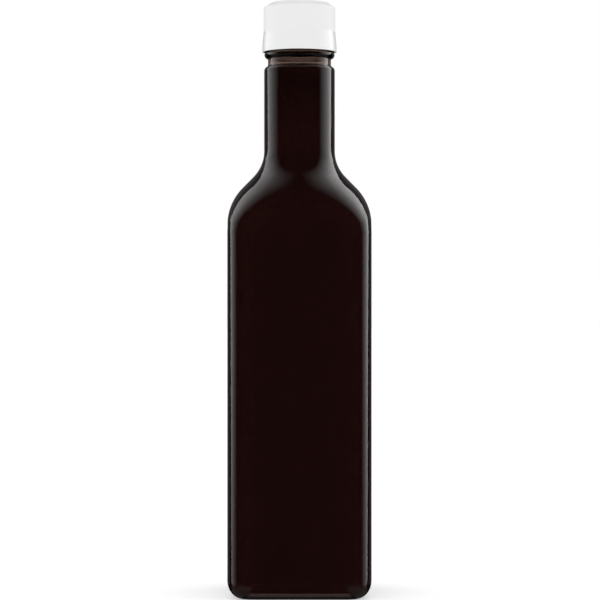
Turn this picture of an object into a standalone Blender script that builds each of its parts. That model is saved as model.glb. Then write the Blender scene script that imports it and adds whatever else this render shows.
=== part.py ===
"""Square glass steak sauce bottle: a glass bottle, the sauce in it and its moulded plastic cap.

Metres, +Z up. The origin is the middle of the bottle's base, on the surface it stands on.
The flat faces of the body look along X and Y, and -Y is the front.
"""

import math

import bpy
import bmesh

# ---- The glass bottle, in metres ----------------------------------------------------------
BODY_WIDTH = 0.0600
BODY_CORNER = 0.0117  # how far in from a side its rounded corner starts
HEEL_WIDTH = 0.0060  # how far in from a side the heel's rounding reaches
HEEL_HEIGHT = 0.0074
WALL = 0.0030

SHOULDER_TOP_Z = 0.1870  # where the neck starts to flare
SHOULDER_SLOPE = math.radians(43.3)  # steepest lean of the shoulder, from the vertical
SHOULDER_HOLLOW_RADIUS = 0.0157  # the concave sweep under the neck
SHOULDER_ROUND_RADIUS = 0.0225  # the convex sweep above the body
SQUARING_TOP_Z = 0.17595  # the shoulder is round above this
SQUARING_BOTTOM_Z = 0.15205  # and has the body's square section below this

NECK_RADIUS = 0.01495
NECK_TOP_Z = 0.22268
NECK_EDGE_RADIUS = 0.0019

GROOVE_RADIUS = 0.01335
BEAD_Z = 0.2275
BEAD_RADIUS = 0.0016  # radius of the bead's own round section
BEAD_REACH = 0.01483  # the bead's largest radius

FINISH_RADIUS = 0.0127
BORE_RADIUS = 0.0112
RIM_Z = 0.24635
RIM_EDGE_RADIUS = 0.0006

BEARING_WIDTH = 0.0035  # the flat ring that the bottle stands on
PUSH_UP_HEIGHT = 0.0020  # the hollow in the middle of the base
PUSH_UP_CORNER = 0.75  # its corners, as a share of its half width
BASE_THICKNESS = 0.0030
INNER_HEEL_WIDTH = 0.0030
INNER_HEEL_HEIGHT = 0.0045

# ---- The sauce ----------------------------------------------------------------------------
FILL_Z = 0.22035
CLEARANCE = 0.0003  # gap between separate pieces

# ---- The cap ------------------------------------------------------------------------------
CAP_TOP_Z = 0.24965
CAP_BOTTOM_Z = 0.22877
CAP_CROWN_RADIUS = 0.0118  # the flat top, inside the chamfer
CAP_CHAMFER_RADIUS = 0.0145  # where the chamfer meets the rounded edge
CAP_CHAMFER_DROP = 0.0018
CAP_EDGE_DROP = 0.0007  # height of the rounding under the chamfer
CAP_RADIUS = 0.01515
CAP_SKIRT_Z = 0.2371  # the cap flares out under this
CAP_SKIRT_FLARE = 0.098  # how far it widens for each unit of height
CAP_BAND_Z = 0.2322  # and less steeply under this, down to its foot
CAP_BAND_FLARE = 0.04
CAP_LIP_RADIUS = 0.0003
CAP_BORE_RADIUS = FINISH_RADIUS + CLEARANCE
CAP_MOUTH_RADIUS = 0.01495  # the bore is wider at the bottom, round the bead
CAP_MOUTH_DEPTH = 0.0022
CAP_MOUTH_TAPER = 0.0006

# ---- How finely the shapes are cut --------------------------------------------------------
FLAT_STEPS = 3  # from the middle of a flat side to its corner
CORNER_STEPS = 5  # from there to the corner's middle
CORNER_SAMPLES = 60  # used to find where a direction meets the corner
HEEL_STEPS = 7
CAP_EDGE_STEPS = 4
FLARE_STEPS = 3  # between the two starts of the cap's flare
INNER_HEEL_STEPS = 4
PUSH_UP_RINGS = (0.15, 0.4, 0.65, 0.83, 0.94, 1.0)  # rings in the hollow, as shares of its half width
FLOOR_RINGS = (0.15, 0.6)  # and on the floor inside
HEEL_CORNER_TIGHTENING = 0.8  # how much of the heel's inset the inner corners lose
SHARP_EDGE = math.radians(35)


def ring_angles():
    """Directions of one ring's points, closer together where the body's corners turn."""
    half = BODY_WIDTH / 2
    start = math.atan2(half - BODY_CORNER, half)
    turn = math.pi / 4 - start
    octant = [start * i / FLAT_STEPS for i in range(FLAT_STEPS)]
    octant += [start + turn * i / CORNER_STEPS for i in range(CORNER_STEPS)]
    quarter = octant + [math.pi / 4] + [math.pi / 2 - a for a in reversed(octant[1:])]
    return [a + q * math.pi / 2 for q in range(4) for a in quarter]


ANGLES = ring_angles()


def corner_share(s, softness):
    """How far across a corner the outline has come where its normal's sine is s.

    At softness 0 the corner is a circular arc. At 1 it is tightest in its middle.
    """
    bulge = s - 4 / 3 * s**3 + 4 / 5 * s**5
    return (s + softness * bulge) / (1 + softness * 7 / 15)


def outline_reach(half, corner, softness):
    """Distance from the axis to a round-cornered square, for each direction in ANGLES."""
    straight = half - corner
    samples = []
    for i in range(CORNER_SAMPLES + 1):
        turn = math.pi / 4 * i / CORNER_SAMPLES
        x = straight + corner * corner_share(math.cos(turn), softness)
        y = straight + corner * corner_share(math.sin(turn), softness)
        samples.append((math.atan2(y, x), math.hypot(x, y)))
    reaches = []
    for angle in ANGLES:
        folded = angle % (math.pi / 2)
        folded = min(folded, math.pi / 2 - folded)
        if folded <= samples[0][0]:
            reaches.append(half / math.cos(folded))
            continue
        for (a0, r0), (a1, r1) in zip(samples, samples[1:]):
            if folded <= a1 + 1e-9:
                reaches.append(r0 + (r1 - r0) * (folded - a0) / (a1 - a0))
                break
    return reaches


def ring_points(half, corner, softness, z):
    """One ring of points: a round-cornered square, or a circle where corner equals half."""
    reaches = outline_reach(half, min(corner, half), softness)
    return [(r * math.cos(a), r * math.sin(a), z) for a, r in zip(ANGLES, reaches)]


def round_ring(radius, z):
    return (radius, radius, 0.0, z)


def arc(centre_r, centre_z, radius, start, end, steps):
    """(r, z, lean) along an arc of a profile. The angles are in radians, from +r to +z."""
    made = []
    for i in range(steps + 1):
        a = start + (end - start) * i / steps
        made.append((centre_r + radius * math.cos(a), centre_z + radius * math.sin(a), a))
    return made


def heel_curve(width, height, steps):
    """(distance in from the side, height) along the rounding between the base and a side."""
    turns = [math.pi / 2 * i / steps for i in range(steps + 1)]
    return [(width * (1 - math.sin(a)), height * (1 - math.cos(a))) for a in turns]


def hollow_height(share):
    """Height of the hollow in the base, at a share of its half width."""
    return PUSH_UP_HEIGHT * (1 - share**3) ** 0.75


def floor_rise(share):
    """How far the floor inside rises over the hollow, at a share of its half width."""
    return PUSH_UP_HEIGHT * (1 - share**2)


def squareness(z):
    """0 where the shoulder is round, 1 where it has the body's section."""
    t = (z - SQUARING_BOTTOM_Z) / (SQUARING_TOP_Z - SQUARING_BOTTOM_Z)
    t = min(1.0, max(0.0, t))
    return (1 - t**1.3) ** 1.24


def corner_at(half, z):
    """How far in from the side the outer section's corner starts, at height z."""
    body_share = BODY_CORNER / (BODY_WIDTH / 2)
    return half * (1 + (body_share - 1) * squareness(z))


def shoulder_profile(round_steps, slope_steps, hollow_steps):
    """(half width, z, lean of the surface) from the top of the body to the foot of the neck."""
    half = BODY_WIDTH / 2
    lean = SHOULDER_SLOPE
    hollow = SHOULDER_HOLLOW_RADIUS
    bulge = SHOULDER_ROUND_RADIUS
    slope_in = half - NECK_RADIUS - (hollow + bulge) * (1 - math.cos(lean))
    slope_drop = slope_in / math.tan(lean)
    slope_top_z = SHOULDER_TOP_Z - hollow * math.sin(lean)
    bulge_z = slope_top_z - slope_drop - bulge * math.sin(lean)
    profile = [(half, SQUARING_BOTTOM_Z, 0.0)]
    profile += arc(half - bulge, bulge_z, bulge, 0, lean, round_steps)
    foot_r, foot_z, _ = profile[-1]
    for i in range(1, slope_steps):
        share = i / slope_steps
        profile.append((foot_r - slope_in * share, foot_z + slope_drop * share, lean))
    turned = arc(NECK_RADIUS + hollow, SHOULDER_TOP_Z, hollow, math.pi + lean, math.pi, hollow_steps)
    return profile + [(r, z, a - math.pi) for r, z, a in turned]


def outer_rings():
    """Rings of the bottle's outside, from the middle of its underside up to the rim."""
    half = BODY_WIDTH / 2
    stand = half - HEEL_WIDTH  # half width of the face that it stands on
    hollow = stand - BEARING_WIDTH
    rings = []
    for share in PUSH_UP_RINGS:
        width = hollow * share
        rings.append((width, width * PUSH_UP_CORNER, 0.0, hollow_height(share)))
    for step_in, z in heel_curve(HEEL_WIDTH, HEEL_HEIGHT, HEEL_STEPS):
        rings.append((half - step_in, BODY_CORNER - step_in, 1.0, z))
    for r, z, _ in shoulder_profile(round_steps=8, slope_steps=2, hollow_steps=7):
        rings.append((r, corner_at(r, z), squareness(z), z))
    edge = NECK_EDGE_RADIUS
    profile = arc(NECK_RADIUS - edge, NECK_TOP_Z - edge, edge, 0, math.pi / 2, 4)[:-1]
    profile.append((GROOVE_RADIUS, NECK_TOP_Z, 0.0))
    bead_middle = BEAD_REACH - BEAD_RADIUS
    bead_start = -math.acos((GROOVE_RADIUS - bead_middle) / BEAD_RADIUS)
    profile += arc(bead_middle, BEAD_Z, BEAD_RADIUS, bead_start, math.pi / 2, 8)
    profile.append((FINISH_RADIUS, BEAD_Z + BEAD_RADIUS, 0.0))
    edge = RIM_EDGE_RADIUS
    profile += arc(FINISH_RADIUS - edge, RIM_Z - edge, edge, 0, math.pi / 2, 2)
    return rings + [round_ring(r, z) for r, z, _ in profile]


def inner_rings(gap):
    """Rings of the bottle's inside, drawn in by gap, from the floor up to the neck."""
    inset = WALL + gap
    half = BODY_WIDTH / 2 - inset
    corner = BODY_CORNER - inset
    floor_z = BASE_THICKNESS + gap
    rings = []
    for share in FLOOR_RINGS:
        width = (BODY_WIDTH / 2 - WALL - INNER_HEEL_WIDTH) * share
        rings.append((width, width * PUSH_UP_CORNER, 0.0, floor_z + floor_rise(share)))
    for step_in, rise in heel_curve(INNER_HEEL_WIDTH, INNER_HEEL_HEIGHT, INNER_HEEL_STEPS):
        inner_corner = corner - step_in * HEEL_CORNER_TIGHTENING
        rings.append((half - step_in, inner_corner, 1.0, floor_z + rise))
    for r, z, lean in shoulder_profile(round_steps=7, slope_steps=2, hollow_steps=6):
        inward, down = inset * math.cos(lean), inset * math.sin(lean)
        rings.append((r - inward, corner_at(r, z) - inward, squareness(z), z - down))
    return rings


def cap_rings():
    """Rings of the cap: out from the bore's roof, down the bore, then up the outside."""
    roof_z = RIM_Z + CLEARANCE
    mouth_top_z = CAP_BOTTOM_Z + CAP_MOUTH_DEPTH
    band = CAP_RADIUS + CAP_SKIRT_FLARE * (CAP_SKIRT_Z - CAP_BAND_Z)
    foot = band + CAP_BAND_FLARE * (CAP_BAND_Z - CAP_BOTTOM_Z)
    profile = [
        (CAP_BORE_RADIUS * 0.3, roof_z),
        (CAP_BORE_RADIUS, roof_z),
        (CAP_BORE_RADIUS, mouth_top_z),
        (CAP_MOUTH_RADIUS, mouth_top_z - CAP_MOUTH_TAPER),
        (CAP_MOUTH_RADIUS, CAP_BOTTOM_Z),
        (foot - CAP_LIP_RADIUS, CAP_BOTTOM_Z),
        (foot, CAP_BOTTOM_Z + CAP_LIP_RADIUS),
    ]
    for i in range(FLARE_STEPS + 1):
        z = CAP_BAND_Z + (CAP_SKIRT_Z - CAP_BAND_Z) * i / FLARE_STEPS
        profile.append((CAP_RADIUS + CAP_SKIRT_FLARE * (CAP_SKIRT_Z - z), z))
    chamfer_z = CAP_TOP_Z - CAP_CHAMFER_DROP
    edge_z = chamfer_z - CAP_EDGE_DROP
    edge_in = CAP_RADIUS - CAP_CHAMFER_RADIUS
    for i in range(CAP_EDGE_STEPS + 1):
        turn = math.pi / 2 * i / CAP_EDGE_STEPS
        radius = CAP_CHAMFER_RADIUS + edge_in * math.cos(turn)
        profile.append((radius, edge_z + CAP_EDGE_DROP * math.sin(turn)))
    chamfer_in = CAP_CHAMFER_RADIUS - CAP_CROWN_RADIUS
    profile.append((CAP_CROWN_RADIUS + chamfer_in * 0.15, CAP_TOP_Z - CAP_CHAMFER_DROP * 0.15))
    profile.append((CAP_CROWN_RADIUS - chamfer_in * 0.15, CAP_TOP_Z))
    profile.append((CAP_CROWN_RADIUS * 0.4, CAP_TOP_Z))
    return [round_ring(r, z) for r, z in profile]


def loft(name, rings, material):
    """A closed body through the rings, with its first and last ring filled."""
    bm = bmesh.new()
    loops = [[bm.verts.new(point) for point in ring_points(*ring)] for ring in rings]
    bm.faces.new(list(reversed(loops[0])))
    bm.faces.new(loops[-1])
    count = len(ANGLES)
    for low, high in zip(loops, loops[1:]):
        for i in range(count):
            j = (i + 1) % count
            bm.faces.new((low[i], low[j], high[j], high[i]))
    bmesh.ops.recalc_face_normals(bm, faces=bm.faces)
    mesh = bpy.data.meshes.new(name)
    bm.to_mesh(mesh)
    bm.free()
    mesh.materials.append(material)
    mesh.shade_smooth()
    mesh.set_sharp_from_angle(angle=SHARP_EDGE)
    body = bpy.data.objects.new(name, mesh)
    bpy.context.scene.collection.objects.link(body)
    return body


def make_material(name, color, roughness, transmission=0.0):
    """A Principled material in the piece's own colour."""
    material = bpy.data.materials.new(name)
    material.use_nodes = True
    shader = material.node_tree.nodes["Principled BSDF"]
    shader.inputs["Base Color"].default_value = (*color, 1.0)
    shader.inputs["Roughness"].default_value = roughness
    shader.inputs["Transmission Weight"].default_value = transmission
    return material


def build_bottle():
    glass = make_material("tinted_glass", (0.30, 0.20, 0.16), 0.02, transmission=1.0)
    bore = [
        (NECK_RADIUS - WALL, NECK_TOP_Z - NECK_EDGE_RADIUS),
        (BORE_RADIUS, NECK_TOP_Z + RIM_EDGE_RADIUS),
        (BORE_RADIUS, RIM_Z - RIM_EDGE_RADIUS),
        (BORE_RADIUS + RIM_EDGE_RADIUS, RIM_Z),
    ]
    inside = inner_rings(gap=0.0) + [round_ring(r, z) for r, z in bore]
    return loft("glass_bottle", outer_rings() + inside[::-1], glass)


def build_sauce():
    sauce = make_material("steak_sauce", (0.012, 0.004, 0.003), 0.35)
    surface = NECK_RADIUS - WALL - CLEARANCE
    top = [round_ring(surface, FILL_Z), round_ring(surface * 0.3, FILL_Z)]
    return loft("sauce", inner_rings(gap=CLEARANCE) + top, sauce)


def build_cap():
    plastic = make_material("white_plastic", (0.84, 0.84, 0.84), 0.30)
    return loft("cap", cap_rings(), plastic)


def main():
    for old in list(bpy.data.objects):
        bpy.data.objects.remove(old)
    build_bottle()
    build_sauce()
    build_cap()


main()
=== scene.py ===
"""Looks of the square steak sauce bottle: tinted glass, the sauce in it and its white cap."""

import math

import bmesh
import bpy
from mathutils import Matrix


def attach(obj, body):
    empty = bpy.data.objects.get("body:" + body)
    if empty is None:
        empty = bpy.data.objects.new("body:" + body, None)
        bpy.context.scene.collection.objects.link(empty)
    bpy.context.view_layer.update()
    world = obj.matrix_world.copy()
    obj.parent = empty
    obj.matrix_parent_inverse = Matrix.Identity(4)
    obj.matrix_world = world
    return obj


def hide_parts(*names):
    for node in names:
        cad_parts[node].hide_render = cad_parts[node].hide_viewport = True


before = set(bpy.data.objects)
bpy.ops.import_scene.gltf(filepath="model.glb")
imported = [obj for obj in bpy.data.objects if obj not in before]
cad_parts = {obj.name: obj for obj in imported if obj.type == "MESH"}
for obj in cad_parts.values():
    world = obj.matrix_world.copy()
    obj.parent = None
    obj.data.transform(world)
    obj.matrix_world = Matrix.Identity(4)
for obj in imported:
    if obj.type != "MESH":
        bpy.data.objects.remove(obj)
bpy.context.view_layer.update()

# ---- The bottle's dimensions, the same as the solids', in metres ---------------------------
BODY_WIDTH = 0.0600
BODY_CORNER = 0.0117
HEEL_WIDTH = 0.0060
HEEL_HEIGHT = 0.0074
WALL = 0.0030
SHOULDER_TOP_Z = 0.1870
SHOULDER_SLOPE = math.radians(43.3)
SHOULDER_HOLLOW_RADIUS = 0.0157
SHOULDER_ROUND_RADIUS = 0.0225
SQUARING_TOP_Z = 0.17595
SQUARING_BOTTOM_Z = 0.15205
SQUARING_POWERS = (1.3, 1.24)  # how the corners round off between these heights
STRAIGHT_TOP_Z = SQUARING_BOTTOM_Z - 0.002
NECK_RADIUS = 0.01495
NECK_TOP_Z = 0.22268
NECK_EDGE_RADIUS = 0.0019
GROOVE_RADIUS = 0.01335
GROOVE_FILLET = 0.0005
BEAD_FILLET = 0.0004
BEAD_Z = 0.2275
BEAD_RADIUS = 0.0016
BEAD_REACH = 0.01483
FINISH_RADIUS = 0.0127
BORE_RADIUS = 0.0112
BORE_STEP_Z = 0.22635  # the bore narrows from here up, over the next height
BORE_STEP_HEIGHT = 0.0005
BORE_STEP_LEAD = 0.0004
BORE_STEP_RINGS = 6
RIM_Z = 0.24635
RIM_EDGE_RADIUS = 0.0006
BEARING_WIDTH = 0.0035
PUSH_UP_HEIGHT = 0.0020
PUSH_UP_CORNER = 0.75
PUSH_UP_POWERS = (3, 0.75)  # how the hollow levels off towards its middle
BASE_THICKNESS = 0.0030
INNER_HEEL_WIDTH = 0.0030
INNER_HEEL_HEIGHT = 0.0045
INNER_CORNER_SHARE = 0.8

FILL_Z = 0.22035
SAUCE_OVERLAP = 0.00004  # how far the sauce reaches into the glass, so that no gap shows
MENISCUS_HEIGHT = 0.0008
MENISCUS_WIDTH = 0.0018
MENISCUS_POWER = 2.2
MENISCUS_RINGS = 6

CAP_TOP_Z = 0.24965
CAP_BOTTOM_Z = 0.22877
CAP_ROOF_GAP = 0.0003  # over the glass
CAP_CROWN_RADIUS = 0.0118
CAP_CROWN_CURVE = ((0.25, 0.20), (0.10, 0.06), (-0.05, 0.01), (-0.2, 0.0))
CAP_CHAMFER_RADIUS = 0.0145
CAP_CHAMFER_DROP = 0.0018
CAP_EDGE_DROP = 0.0007
CAP_RADIUS = 0.01515
CAP_SKIRT_Z = 0.2371
CAP_SKIRT_FLARE = 0.098
CAP_BAND_Z = 0.2322
CAP_BAND_FLARE = 0.04
CAP_FLARE_SOFTNESS = 0.0005
CAP_FLARE_LEAD = 0.002
CAP_LIP_RADIUS = 0.00015
CAP_BORE_RADIUS = 0.0130
CAP_MOUTH_RADIUS = 0.01495
CAP_MOUTH_DEPTH = 0.0022
CAP_MOUTH_TAPER = 0.0006
CAP_SHARP_EDGE = math.radians(50)

FLAT_STEPS = 8
CORNER_STEPS = 12
ROUND_STEPS = 96

# ---- The camera's framing ------------------------------------------------------------------
PIXELS = 600
MM_PER_PIXEL = 0.4237  # at the bottle's axis
FOCAL_PIXELS = 2335
AXIS_PIXEL = 299.47  # where the bottle's axis stands across the picture
CAMERA_Z = 0.12385
SENSOR_MM = 36.0


# ---- Meshes --------------------------------------------------------------------------------
def smooth(t):
    t = min(1.0, max(0.0, t))
    return t * t * (3 - 2 * t)


def square_angles():
    """Directions of a ring's points, closer together where the body's corners turn."""
    half = BODY_WIDTH / 2
    start = math.atan2(half - BODY_CORNER, half)
    turn = math.pi / 4 - start
    octant = [start * i / FLAT_STEPS for i in range(FLAT_STEPS)]
    octant += [start + turn * i / CORNER_STEPS for i in range(CORNER_STEPS)]
    quarter = octant + [math.pi / 4] + [math.pi / 2 - a for a in reversed(octant[1:])]
    return [a + q * math.pi / 2 for q in range(4) for a in quarter]


SQUARE_ANGLES = square_angles()
ROUND_ANGLES = [2 * math.pi * i / ROUND_STEPS for i in range(ROUND_STEPS)]


def corner_share(s, softness):
    """How far across a corner the outline has come where its normal's sine is s."""
    bulge = s - 4 / 3 * s**3 + 4 / 5 * s**5
    return (s + softness * bulge) / (1 + softness * 7 / 15)


def outline_reach(half, corner, softness, angles):
    """Distance from the axis to a round-cornered square, for each direction."""
    straight = half - corner
    samples = []
    for i in range(201):
        turn = math.pi / 4 * i / 200
        x = straight + corner * corner_share(math.cos(turn), softness)
        y = straight + corner * corner_share(math.sin(turn), softness)
        samples.append((math.atan2(y, x), math.hypot(x, y)))
    reaches = {}
    made = []
    for angle in angles:
        folded = angle % (math.pi / 2)
        folded = round(min(folded, math.pi / 2 - folded), 9)
        if folded not in reaches:
            if folded <= samples[0][0]:
                reaches[folded] = half / math.cos(folded)
            else:
                for (a0, r0), (a1, r1) in zip(samples, samples[1:]):
                    if folded <= a1 + 1e-8:
                        reaches[folded] = r0 + (r1 - r0) * (folded - a0) / (a1 - a0)
                        break
        made.append(reaches[folded])
    return made


def ring_points(ring, angles):
    """The corners of a ring, which is (half width, corner, softness, z)."""
    half, corner, softness, z = ring
    if corner >= half - 1e-9:
        return [(half * math.cos(a), half * math.sin(a), z) for a in angles]
    reaches = outline_reach(half, corner, softness, angles)
    return [(r * math.cos(a), r * math.sin(a), z) for a, r in zip(angles, reaches)]


def round_ring(radius, z):
    return (radius, radius, 0.0, z)


def arc(centre_r, centre_z, radius, start, end, steps):
    """(radius, z, angle) along an arc of a profile."""
    made = []
    for i in range(steps + 1):
        a = start + (end - start) * i / steps
        made.append((centre_r + radius * math.cos(a), centre_z + radius * math.sin(a), a))
    return made


def heel_curve(width, height, steps):
    """(distance in from the side, height) along the rounding between the base and a side."""
    turns = [math.pi / 2 * i / steps for i in range(steps + 1)]
    return [(width * (1 - math.sin(a)), height * (1 - math.cos(a))) for a in turns]


def hollow_height(share):
    """Height of the hollow in the base, at a share of its half width."""
    middle, edge = PUSH_UP_POWERS
    return PUSH_UP_HEIGHT * (1 - share**middle) ** edge


def floor_rise(share):
    """How far the floor inside rises over the hollow, at a share of its half width."""
    return PUSH_UP_HEIGHT * (1 - share**2)


def squareness(z):
    """1 where the section has the body's corners, 0 where it is round."""
    low, high = SQUARING_POWERS
    t = (z - SQUARING_BOTTOM_Z) / (SQUARING_TOP_Z - SQUARING_BOTTOM_Z)
    t = min(1.0, max(0.0, t))
    return (1 - t**low) ** high


def corner_at(half, z):
    """The corner's reach along a side on the shoulder, for a section's half width."""
    body_share = BODY_CORNER / (BODY_WIDTH / 2)
    return half * (1 + (body_share - 1) * squareness(z))


def shoulder_profile(round_steps, slope_steps, hollow_steps):
    """(half width, z, lean in radians) from the top of the body to the foot of the neck."""
    half = BODY_WIDTH / 2
    lean = SHOULDER_SLOPE
    hollow = SHOULDER_HOLLOW_RADIUS
    bulge = SHOULDER_ROUND_RADIUS
    slope_in = half - NECK_RADIUS - (hollow + bulge) * (1 - math.cos(lean))
    slope_drop = slope_in / math.tan(lean)
    slope_top_z = SHOULDER_TOP_Z - hollow * math.sin(lean)
    bulge_z = slope_top_z - slope_drop - bulge * math.sin(lean)
    profile = [(half, z, 0.0) for z in (STRAIGHT_TOP_Z, SQUARING_BOTTOM_Z)]
    profile += arc(half - bulge, bulge_z, bulge, 0, lean, round_steps)
    foot_r, foot_z, _ = profile[-1]
    for i in range(1, slope_steps):
        share = i / slope_steps
        profile.append((foot_r - slope_in * share, foot_z + slope_drop * share, lean))
    start, end = math.pi + lean, math.pi
    turned = arc(NECK_RADIUS + hollow, SHOULDER_TOP_Z, hollow, start, end, hollow_steps)
    return profile + [(r, z, a - math.pi) for r, z, a in turned]


def groove_profile():
    """The neck's rounded top edge, the groove over it and the bead, with fillets between them."""
    edge = NECK_EDGE_RADIUS
    fillet = GROOVE_FILLET
    edge_middle = NECK_RADIUS - edge
    wall_in = GROOVE_RADIUS + fillet
    rise = math.sqrt((edge + fillet) ** 2 - (wall_in - edge_middle) ** 2)
    turn = math.atan2(rise, wall_in - edge_middle)
    profile = arc(edge_middle, NECK_TOP_Z - edge, edge, 0, turn, 14)
    low_z = NECK_TOP_Z - edge + rise
    profile += arc(wall_in, low_z, fillet, turn + math.pi, math.pi, 6)[1:]
    fillet = BEAD_FILLET
    wall_in = GROOVE_RADIUS + fillet
    bead_middle = BEAD_REACH - BEAD_RADIUS
    drop = math.sqrt((BEAD_RADIUS + fillet) ** 2 - (wall_in - bead_middle) ** 2)
    turn = -math.atan2(drop, wall_in - bead_middle)
    high_z = BEAD_Z - drop
    for i in range(1, 4):
        profile.append((GROOVE_RADIUS, low_z + (high_z - low_z) * i / 4, 0.0))
    profile += arc(wall_in, high_z, fillet, math.pi, turn + math.pi, 6)
    return profile + arc(bead_middle, BEAD_Z, BEAD_RADIUS, turn, math.pi / 2, 22)[1:]


def outer_rings():
    """Rings of the outside, from the hollow under the base up to the rim."""
    half = BODY_WIDTH / 2
    stand = half - HEEL_WIDTH
    hollow = stand - BEARING_WIDTH
    rings = []
    for i in range(1, 17):
        width = hollow * i / 16
        rings.append((width, width * PUSH_UP_CORNER, 0.0, hollow_height(i / 16)))
    for step_in, z in heel_curve(HEEL_WIDTH, HEEL_HEIGHT, 20):
        rings.append((half - step_in, BODY_CORNER - step_in, 1.0, z))
    for i in range(1, 12):
        z = HEEL_HEIGHT + (STRAIGHT_TOP_Z - HEEL_HEIGHT) * i / 12
        rings.append((half, BODY_CORNER, 1.0, z))
    for r, z, _ in shoulder_profile(round_steps=24, slope_steps=6, hollow_steps=20):
        rings.append((r, corner_at(r, z), squareness(z), z))
    profile = groove_profile()
    profile.append((FINISH_RADIUS, BEAD_Z + BEAD_RADIUS, 0.0))
    edge = RIM_EDGE_RADIUS
    profile += arc(FINISH_RADIUS - edge, RIM_Z - edge, edge, 0, math.pi / 2, 4)
    return rings + [round_ring(r, z) for r, z, _ in profile]


def inner_rings(inset):
    """Rings of the inside, from the floor to the neck, set in from the outside by inset."""
    half = BODY_WIDTH / 2 - inset
    corner = BODY_CORNER - inset
    floor_z = BASE_THICKNESS + inset - WALL
    rings = []
    for i in range(1, 13):
        width = (half - INNER_HEEL_WIDTH) * i / 13
        rings.append((width, width * PUSH_UP_CORNER, 0.0, floor_z + floor_rise(i / 13)))
    for step_in, rise in heel_curve(INNER_HEEL_WIDTH, INNER_HEEL_HEIGHT, 12):
        rings.append((half - step_in, corner - step_in * INNER_CORNER_SHARE, 1.0, floor_z + rise))
    for r, z, lean in shoulder_profile(round_steps=20, slope_steps=5, hollow_steps=16):
        inward, down = inset * math.cos(lean), inset * math.sin(lean)
        rings.append((r - inward, corner_at(r, z) - inward, squareness(z), z - down))
    return rings


def loft(name, rings, angles):
    """A closed body through the rings, with its first and last ring filled."""
    bm = bmesh.new()
    loops = [[bm.verts.new(p) for p in ring_points(ring, angles)] for ring in rings]
    bm.faces.new(list(reversed(loops[0])))
    bm.faces.new(loops[-1])
    count = len(angles)
    for low, high in zip(loops, loops[1:]):
        for i in range(count):
            j = (i + 1) % count
            bm.faces.new((low[i], low[j], high[j], high[i]))
    bmesh.ops.recalc_face_normals(bm, faces=bm.faces)
    mesh = bpy.data.meshes.new(name)
    bm.to_mesh(mesh)
    bm.free()
    mesh.shade_smooth()
    piece = bpy.data.objects.new(name, mesh)
    bpy.context.scene.collection.objects.link(piece)
    return piece


def bottle_mesh():
    wide = NECK_RADIUS - WALL
    bore = [round_ring(wide, NECK_TOP_Z), round_ring(wide, BORE_STEP_Z - BORE_STEP_LEAD)]
    for i in range(BORE_STEP_RINGS + 1):
        z = BORE_STEP_Z + BORE_STEP_HEIGHT * i / BORE_STEP_RINGS
        bore.append(round_ring(wide + (BORE_RADIUS - wide) * smooth(i / BORE_STEP_RINGS), z))
    bore.append(round_ring(BORE_RADIUS, z + BORE_STEP_LEAD))
    bore.append(round_ring(BORE_RADIUS, RIM_Z - RIM_EDGE_RADIUS))
    bore.append(round_ring(BORE_RADIUS + RIM_EDGE_RADIUS * 0.3, RIM_Z - RIM_EDGE_RADIUS * 0.3))
    bore.append(round_ring(BORE_RADIUS + RIM_EDGE_RADIUS, RIM_Z))
    inside = inner_rings(WALL) + bore
    return loft("bottle", outer_rings() + inside[::-1], SQUARE_ANGLES)


def sauce_mesh():
    edge = NECK_RADIUS - WALL + SAUCE_OVERLAP
    top = [round_ring(edge, FILL_Z + MENISCUS_HEIGHT)]
    for i in range(1, MENISCUS_RINGS + 1):
        t = i / MENISCUS_RINGS
        rise = MENISCUS_HEIGHT * (1 - t) ** MENISCUS_POWER
        top.append(round_ring(edge - MENISCUS_WIDTH * t, FILL_Z + rise))
    top += [round_ring(edge * 0.5, FILL_Z), round_ring(edge * 0.15, FILL_Z)]
    return loft("sauce_fill", inner_rings(WALL - SAUCE_OVERLAP) + top, SQUARE_ANGLES)


def cap_radius(z):
    """The cap's outside, which flares twice towards its foot, each time with a soft start."""

    def below(start):
        depth = start - z
        return (depth + math.hypot(depth, CAP_FLARE_SOFTNESS)) / 2

    band_more = CAP_BAND_FLARE - CAP_SKIRT_FLARE
    return CAP_RADIUS + CAP_SKIRT_FLARE * below(CAP_SKIRT_Z) + band_more * below(CAP_BAND_Z)


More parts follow.
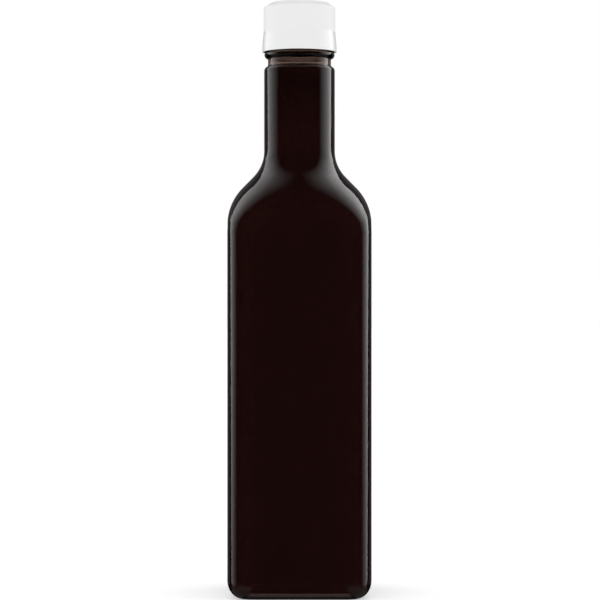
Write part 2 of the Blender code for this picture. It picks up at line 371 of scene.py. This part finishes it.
def cap_mesh():
    roof_z = RIM_Z + CAP_ROOF_GAP
    mouth_top_z = CAP_BOTTOM_Z + CAP_MOUTH_DEPTH
    profile = [
        (CAP_BORE_RADIUS * 0.3, roof_z),
        (CAP_BORE_RADIUS, roof_z),
        (CAP_BORE_RADIUS, mouth_top_z),
        (CAP_MOUTH_RADIUS, mouth_top_z - CAP_MOUTH_TAPER),
        (CAP_MOUTH_RADIUS, CAP_BOTTOM_Z + CAP_LIP_RADIUS),
        (CAP_MOUTH_RADIUS + CAP_LIP_RADIUS * 0.5, CAP_BOTTOM_Z),
    ]
    lip = CAP_LIP_RADIUS
    foot = cap_radius(CAP_BOTTOM_Z + lip)
    for r, z, _ in arc(foot - lip, CAP_BOTTOM_Z + lip, lip, -math.pi / 2, 0, 5):
        profile.append((r, z))
    flare_top_z = CAP_SKIRT_Z + CAP_FLARE_LEAD
    for i in range(1, 33):
        z = CAP_BOTTOM_Z + lip + (flare_top_z - CAP_BOTTOM_Z - lip) * i / 32
        profile.append((cap_radius(z), z))
    chamfer_z = CAP_TOP_Z - CAP_CHAMFER_DROP
    edge_z = chamfer_z - CAP_EDGE_DROP
    for i in range(1, 4):
        profile.append((CAP_RADIUS, flare_top_z + (edge_z - flare_top_z) * i / 4))
    edge_in = CAP_RADIUS - CAP_CHAMFER_RADIUS
    for i in range(9):
        turn = math.pi / 2 * i / 8
        radius = CAP_CHAMFER_RADIUS + edge_in * math.cos(turn)
        profile.append((radius, edge_z + CAP_EDGE_DROP * math.sin(turn)))
    chamfer_in = CAP_CHAMFER_RADIUS - CAP_CROWN_RADIUS
    for share, drop in CAP_CROWN_CURVE:
        profile.append((CAP_CROWN_RADIUS + chamfer_in * share, CAP_TOP_Z - CAP_CHAMFER_DROP * drop))
    profile += [(CAP_CROWN_RADIUS * 0.7, CAP_TOP_Z), (CAP_CROWN_RADIUS * 0.3, CAP_TOP_Z)]
    piece = loft("screw_cap", [round_ring(r, z) for r, z in profile], ROUND_ANGLES)
    piece.data.set_sharp_from_angle(angle=CAP_SHARP_EDGE)
    return piece


# ---- Materials -----------------------------------------------------------------------------
def new_material(name):
    material = bpy.data.materials.new(name)
    material.use_nodes = True
    return material, material.node_tree, material.node_tree.nodes["Principled BSDF"]


def add(tree, kind, **inputs):
    node = tree.nodes.new(kind)
    for key, value in inputs.items():
        node.inputs[key.replace("_", " ")].default_value = value
    return node


def noise(tree, scale, detail=2.0, stretch=(1, 1, 1)):
    """A noise texture in the object's own coordinates. scale is in waves per metre."""
    coords = tree.nodes.new("ShaderNodeTexCoord")
    mapping = tree.nodes.new("ShaderNodeMapping")
    mapping.inputs["Scale"].default_value = stretch
    tree.links.new(coords.outputs["Object"], mapping.inputs["Vector"])
    texture = add(tree, "ShaderNodeTexNoise", Scale=scale, Detail=detail)
    tree.links.new(mapping.outputs["Vector"], texture.inputs["Vector"])
    return texture


def ramp(tree, source, low, high):
    """Maps a 0 to 1 value on to low to high."""
    node = tree.nodes.new("ShaderNodeMapRange")
    node.inputs["To Min"].default_value = low
    node.inputs["To Max"].default_value = high
    tree.links.new(source, node.inputs["Value"])
    return node.outputs["Result"]


def glass_material():
    """Clear glass with a slight tint, and a volume that darkens it brown where it is deep."""
    material, tree, shader = new_material("tinted_glass")
    streak = noise(tree, 30, 2.0, (1, 1, 0.35))
    tint = tree.nodes.new("ShaderNodeMix")
    tint.data_type = "RGBA"
    tint.inputs["A"].default_value = (0.52, 0.47, 0.44, 1.0)
    tint.inputs["B"].default_value = (0.58, 0.53, 0.50, 1.0)
    tree.links.new(streak.outputs["Fac"], tint.inputs["Factor"])
    tree.links.new(tint.outputs["Result"], shader.inputs["Base Color"])
    shader.inputs["Transmission Weight"].default_value = 1.0
    shader.inputs["IOR"].default_value = 1.5
    shader.inputs["Roughness"].default_value = 0.0
    ripple = noise(tree, 42, 1.5, (1, 1, 0.5))
    bump = add(tree, "ShaderNodeBump", Strength=0.05, Distance=0.0008)
    tree.links.new(ripple.outputs["Fac"], bump.inputs["Height"])
    tree.links.new(bump.outputs["Normal"], shader.inputs["Normal"])
    absorb = tree.nodes.new("ShaderNodeVolumeAbsorption")
    absorb.inputs["Color"].default_value = (0.25, 0.075, 0.0, 1.0)
    absorb.inputs["Density"].default_value = 429.0
    tree.links.new(absorb.outputs["Volume"], tree.nodes["Material Output"].inputs["Volume"])
    return material


def sauce_material():
    """The sauce against the glass, which darkens it: on its own it is lighter than it looks."""
    material, tree, shader = new_material("steak_sauce")
    shader.inputs["Roughness"].default_value = 0.35
    shader.inputs["Specular IOR Level"].default_value = 0.06
    pulp = noise(tree, 900, 3.0)
    cloud = noise(tree, 60, 2.0)
    mix = tree.nodes.new("ShaderNodeMix")
    mix.data_type = "RGBA"
    mix.inputs["A"].default_value = (0.32, 0.183, 0.205, 1.0)
    mix.inputs["B"].default_value = (0.395, 0.226, 0.253, 1.0)
    blend = tree.nodes.new("ShaderNodeMath")
    blend.operation = "MULTIPLY"
    tree.links.new(pulp.outputs["Fac"], blend.inputs[0])
    tree.links.new(cloud.outputs["Fac"], blend.inputs[1])
    tree.links.new(blend.outputs["Value"], mix.inputs["Factor"])
    tree.links.new(mix.outputs["Result"], shader.inputs["Base Color"])
    return material


def sauce_top_material(body):
    """The sauce's free surface, which is wet and level."""
    material = body.copy()
    material.name = "steak_sauce_top"
    shader = material.node_tree.nodes["Principled BSDF"]
    shader.inputs["Roughness"].default_value = 0.10
    shader.inputs["Specular IOR Level"].default_value = 0.5
    shader.inputs["IOR"].default_value = 1.38
    return material


def cap_material(name, shade, gloss, low_roughness, high_roughness):
    """Moulded plastic with a fine grain and an uneven gloss."""
    material, tree, shader = new_material(name)
    shader.inputs["Base Color"].default_value = (shade, shade, shade, 1.0)
    shader.inputs["Subsurface Weight"].default_value = 0.25
    shader.inputs["Subsurface Radius"].default_value = (1.0, 0.8, 0.6)
    shader.inputs["Subsurface Scale"].default_value = 0.0015
    shader.inputs["IOR"].default_value = 1.5
    shader.inputs["Specular IOR Level"].default_value = gloss
    grain = noise(tree, 2600, 2.0)
    broad = noise(tree, 110, 2.0)
    rough = ramp(tree, broad.outputs["Fac"], low_roughness, high_roughness)
    tree.links.new(rough, shader.inputs["Roughness"])
    bump = add(tree, "ShaderNodeBump", Strength=0.12, Distance=0.00004)
    tree.links.new(grain.outputs["Fac"], bump.inputs["Height"])
    tree.links.new(bump.outputs["Normal"], shader.inputs["Normal"])
    return material


# ---- The object ----------------------------------------------------------------------------
def dress(piece, material, node):
    piece.data.materials.append(material)
    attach(piece, "root")
    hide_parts(node)


dress(bottle_mesh(), glass_material(), "glass_bottle")
sauce = sauce_mesh()
dress(sauce, sauce_material(), "sauce")
sauce.data.materials.append(sauce_top_material(sauce.data.materials[0]))
for face in sauce.data.polygons:
    if face.normal.z > 0.3 and face.center.z > FILL_Z - 0.0005:
        face.material_index = 1
cap = cap_mesh()
dress(cap, cap_material("white_plastic", 0.80, 0.08, 0.40, 0.55), "cap")
cap.data.materials.append(cap_material("white_plastic_gloss", 0.825, 0.5, 0.16, 0.26))
# Painted shade: the cap's inside (its roof over the rim, its bore and its mouth) is the white
# plastic painted near black, for the dark under the cap that shows through the glass bead.
cap.data.materials.append(cap_material("cap_inside_painted_shade", 0.10, 0.2, 0.5, 0.6))
for face in cap.data.polygons:
    reach = math.hypot(face.center.x, face.center.y)
    # Faces inside the mouth and under the roof take the painted shade.
    if face.center.z < RIM_Z + 0.0005 and reach < CAP_MOUTH_RADIUS + 0.00001:
        face.material_index = 2
    elif face.center.z < CAP_SKIRT_Z:
        face.material_index = 1


# ---- The studio ----------------------------------------------------------------------------
# The two side lights are each part of one long tunnel over the bottle. A lean is an angle from
# straight up, outwards and down. A fade goes from the light's top edge, 0, to its lowest, 1.
# Angles are in degrees.
TUNNEL_RADIUS = 1.25
TUNNEL_CENTRE_Z = 0.119
TUNNEL_ROWS = 40
TUNNEL_COLUMNS = 32
TUNNEL_LEANS = (3, 122)
TUNNEL_TOP_FRONT = 11  # how much further back its front edge starts at the top
TUNNEL_NARROWING_START = 87
TUNNEL_BULGE_LEAN = 68
TUNNEL_BULGE_WIDTH = 8
TUNNEL_FADE = (
    (0.0, 0.04),
    (0.074, 0.20),
    (0.154, 0.37),
    (0.247, 0.73),
    (0.386, 1.0),
    (0.549, 0.82),
)
LEFT_LOW_FADE = (
    (0.70, 0.83),
    (0.736, 0.78),
    (0.757, 0.74),
    (0.777, 0.69),
    (0.798, 0.61),
    (0.819, 0.53),
    (0.85, 0.45),
    (1.0, 0.0),
)
RIGHT_LOW_FADE = (
    (0.70, 0.78),
    (0.716, 0.72),
    (0.736, 0.68),
    (0.757, 0.63),
    (0.777, 0.57),
    (0.798, 0.52),
    (0.819, 0.47),
    (0.85, 0.40),
    (1.0, 0.0),
)
TUNNEL_CAP = ((0.0, 0.70), (0.46, 0.70), (0.538, 0.80), (0.60, 0.93), (0.645, 1.0))

BACK_GLOW = 0.12
BACK_GLOW_RADIUS = 7.0
BACK_GLOW_CENTRE_Z = 0.1
BACK_GLOW_HEIGHTS = (-12, 48)
BACK_GLOW_TURNS = (-52, 52)
BACK_GLOW_ROWS = 12
BACK_GLOW_COLUMNS = 16
BACK_GLOW_ACROSS = ((0.0, 0.0), (0.1, 1.0), (0.9, 1.0), (1.0, 0.0))
BACK_GLOW_RISE = ((0.0, 0.75), (0.25, 0.63), (0.4, 1.0), (0.53, 1.0), (0.7, 0.5), (1.0, 0.3))

HEEL_GLOW = (0.62, 0.45, 0.43)
HEEL_GLOW_REACH = 0.28
HEEL_GLOW_FRONT = -0.46
HEEL_GLOW_BACK = 0.90
HEEL_GLOW_FADE = ((0.0, 0.0), (0.05, 1.0), (0.33, 0.9), (0.41, 0.5), (0.52, 0.2), (1.0, 0.05))

TABLE_GLOW = 0.14
TABLE_GLOW_ACROSS = (0.34, 1.4, 2.5)
TABLE_GLOW_ALONG = (-2.0, 0.0, 1.5)
TABLE_GLOW_Z = -1.0

FLOOR_REACH = 9
FLOOR_Z = -0.00005  # just under the bottle, so that the two never share a plane


def sheet_light(name, grid, shader_of, colour=(1.0, 1.0, 1.0)):
    """A staged light that no camera sees, from rows of points; shader_of makes its emission."""
    bm = bmesh.new()
    uv = bm.loops.layers.uv.new("place")
    verts = [[bm.verts.new(point) for point in line] for line in grid]
    rows, columns = len(grid) - 1, len(grid[0]) - 1
    for i in range(rows):
        for j in range(columns):
            corners = ((i, j), (i, j + 1), (i + 1, j + 1), (i + 1, j))
            face = bm.faces.new([verts[a][b] for a, b in corners])
            for loop, (a, b) in zip(face.loops, corners):
                loop[uv].uv = (b / columns, a / rows)
    mesh = bpy.data.meshes.new(name)
    bm.to_mesh(mesh)
    bm.free()
    light = bpy.data.objects.new(name, mesh)
    bpy.context.scene.collection.objects.link(light)
    material = bpy.data.materials.new(name)
    material.use_nodes = True
    tree = material.node_tree
    tree.nodes.clear()
    emit = add(tree, "ShaderNodeEmission", Color=(*colour, 1.0))
    tree.links.new(shader_of(tree), emit.inputs["Strength"])
    out = tree.nodes.new("ShaderNodeOutputMaterial")
    tree.links.new(emit.outputs["Emission"], out.inputs["Surface"])
    mesh.materials.append(material)
    light.visible_camera = False
    light.visible_shadow = False
    light.visible_diffuse = False
    light.visible_transmission = False
    return light


def along_sheet(tree):
    """Two sockets with the place on a light: along its rows, and from its first row to its last."""
    place = tree.nodes.new("ShaderNodeUVMap")
    split = tree.nodes.new("ShaderNodeSeparateXYZ")
    tree.links.new(place.outputs["UV"], split.inputs["Vector"])
    return split.outputs["X"], split.outputs["Y"]


def curve(tree, source, stops):
    """A level that goes through the stops, which are (place, level)."""
    node = tree.nodes.new("ShaderNodeValToRGB")
    while len(node.color_ramp.elements) < len(stops):
        node.color_ramp.elements.new(0.5)
    for element, (place, value) in zip(node.color_ramp.elements, stops):
        element.position = place
        element.color = (value, value, value, 1)
    tree.links.new(source, node.inputs["Fac"])
    return node.outputs["Color"]


def math_node(tree, operation, first, second):
    node = tree.nodes.new("ShaderNodeMath")
    node.operation = operation
    for socket, value in zip(node.inputs, (first, second)):
        if isinstance(value, (int, float)):
            socket.default_value = value
        else:
            tree.links.new(value, socket)
    return node.outputs["Value"]


def light_tunnel(side, brightness, middle, edges, top_back, bulge, narrowing, low_fade):
    """A tall curved light at one side of the bottle, reaching over it almost to the middle.

    edges are its front and its back edge, as azimuths from the camera's side. The back edge goes
    further back by top_back at the top and by bulge at TUNNEL_BULGE_LEAN, and comes forward by
    narrowing for each degree of lean past TUNNEL_NARROWING_START. middle is the level halfway
    across, against 1 close to the back edge.
    """
    front_edge, back_edge = edges
    low, high = (math.radians(lean) for lean in TUNNEL_LEANS)
    grid = []
    for i in range(TUNNEL_ROWS + 1):
        lean = low + (high - low) * i / TUNNEL_ROWS
        up = max(0.0, 1 - lean / (math.pi / 2))
        down = max(0.0, math.degrees(lean) - TUNNEL_NARROWING_START)
        front = math.radians(front_edge + TUNNEL_TOP_FRONT * up)
        from_bulge = (math.degrees(lean) - TUNNEL_BULGE_LEAN) / TUNNEL_BULGE_WIDTH
        wider = top_back * up + bulge * math.exp(-from_bulge**2) - narrowing * down
        back = math.radians(back_edge + wider)
        line = []
        for j in range(TUNNEL_COLUMNS + 1):
            turn = front + (back - front) * j / TUNNEL_COLUMNS
            y = -TUNNEL_RADIUS / math.tan(turn)
            x = side * TUNNEL_RADIUS * math.sin(lean)
            z = TUNNEL_CENTRE_Z + TUNNEL_RADIUS * math.cos(lean)
            line.append((x, y, z))
        grid.append(line)

    def emission(tree):
        forward, down = along_sheet(tree)
        stops = ((0.0, 0.0), (0.5, middle), (0.955, 1.0), (1.0, 0.0))
        across = curve(tree, forward, stops)
        across = math_node(tree, "MINIMUM", across, curve(tree, down, TUNNEL_CAP))
        fade = curve(tree, down, TUNNEL_FADE + low_fade)
        level = math_node(tree, "MULTIPLY", across, fade)
        return math_node(tree, "MULTIPLY", level, brightness)

    sheet_light("side_light", grid, emission)


def back_glow():
    """A faint light behind the bottle, which only the rim of its outline reflects."""
    low, high = BACK_GLOW_HEIGHTS
    first, last = BACK_GLOW_TURNS
    grid = []
    for i in range(BACK_GLOW_ROWS + 1):
        up = math.radians(low + (high - low) * i / BACK_GLOW_ROWS)
        flat = BACK_GLOW_RADIUS * math.cos(up)
        z = BACK_GLOW_CENTRE_Z + BACK_GLOW_RADIUS * math.sin(up)
        line = []
        for j in range(BACK_GLOW_COLUMNS + 1):
            turn = math.radians(first + (last - first) * j / BACK_GLOW_COLUMNS)
            line.append((flat * math.sin(turn), flat * math.cos(turn), z))
        grid.append(line)

    def emission(tree):
        sideways, upwards = along_sheet(tree)
        across = curve(tree, sideways, BACK_GLOW_ACROSS)
        up = curve(tree, upwards, BACK_GLOW_RISE)
        level = math_node(tree, "MULTIPLY", across, up)
        return math_node(tree, "MULTIPLY", level, BACK_GLOW)

    sheet_light("back_glow", grid, emission)


def heel_glow():
    """The lit table straight under the bottle, which only the turn of its heel reflects."""

    def emission(tree):
        _, backward = along_sheet(tree)
        return curve(tree, backward, HEEL_GLOW_FADE)

    reach = HEEL_GLOW_REACH
    rows = (HEEL_GLOW_FRONT, (HEEL_GLOW_FRONT + HEEL_GLOW_BACK) / 2, HEEL_GLOW_BACK)
    grid = [[(x, y, TABLE_GLOW_Z) for x in (-reach, 0, reach)] for y in rows]
    sheet_light("heel_glow", grid, emission, HEEL_GLOW)


def table_glow():
    """The lit table to both sides, for what faces down and sideways."""

    def emission(tree):
        value = tree.nodes.new("ShaderNodeValue")
        value.outputs[0].default_value = TABLE_GLOW
        return value.outputs[0]

    for side in (-1, 1):
        across = [side * x for x in TABLE_GLOW_ACROSS]
        grid = [[(x, y, TABLE_GLOW_Z) for x in across] for y in TABLE_GLOW_ALONG]
        sheet_light("table_glow", grid, emission)


light_tunnel(
    side=-1,
    brightness=2.30,
    middle=0.56,
    edges=(71, 125.2),
    top_back=16.5,
    bulge=7,
    narrowing=0.62,
    low_fade=LEFT_LOW_FADE,
)
light_tunnel(
    side=1,
    brightness=3.95,
    middle=0.48,
    edges=(67, 123.5),
    top_back=20,
    bulge=4,
    narrowing=0.6,
    low_fade=RIGHT_LOW_FADE,
)
back_glow()
heel_glow()
table_glow()


def floor_plane():
    """The pale floor, which lights the bottle from below and which no reflection shows."""
    bm = bmesh.new()
    turns = ((-1, -1), (1, -1), (1, 1), (-1, 1))
    bm.faces.new([bm.verts.new((x * FLOOR_REACH, y * FLOOR_REACH, FLOOR_Z)) for x, y in turns])
    mesh = bpy.data.meshes.new("floor")
    bm.to_mesh(mesh)
    bm.free()
    floor = bpy.data.objects.new("floor", mesh)
    bpy.context.scene.collection.objects.link(floor)
    material, tree, shader = new_material("pale_floor")
    shader.inputs["Base Color"].default_value = (0.70, 0.70, 0.70, 1.0)
    shader.inputs["Roughness"].default_value = 0.9
    shader.inputs["Specular IOR Level"].default_value = 0.0
    shader.inputs["Emission Color"].default_value = (1.0, 1.0, 1.0, 1.0)
    shader.inputs["Emission Strength"].default_value = 0.44
    material.cycles.emission_sampling = "NONE"
    mesh.materials.append(material)
    floor.visible_glossy = False


floor_plane()

world = bpy.data.worlds.new("studio")
bpy.context.scene.world = world
world.use_nodes = True
background = world.node_tree.nodes["Background"]
background.inputs["Color"].default_value = (1.0, 1.0, 1.0, 1.0)
background.inputs["Strength"].default_value = 1.0
world.cycles_visibility.glossy = False

bpy.context.scene.view_settings.view_transform = "Standard"
bpy.context.scene.view_settings.look = "None"

# ---- The camera ----------------------------------------------------------------------------
lens = bpy.data.cameras.new("camera")
lens.sensor_width = SENSOR_MM
lens.lens = SENSOR_MM * FOCAL_PIXELS / PIXELS
lens.clip_start = 0.01
lens.clip_end = 50
camera = bpy.data.objects.new("camera", lens)
bpy.context.scene.collection.objects.link(camera)
scale = MM_PER_PIXEL / 1000
camera.location = ((PIXELS / 2 - AXIS_PIXEL) * scale, -FOCAL_PIXELS * scale, CAMERA_Z)
camera.rotation_euler = (math.pi / 2, 0, 0)
bpy.context.scene.camera = camera
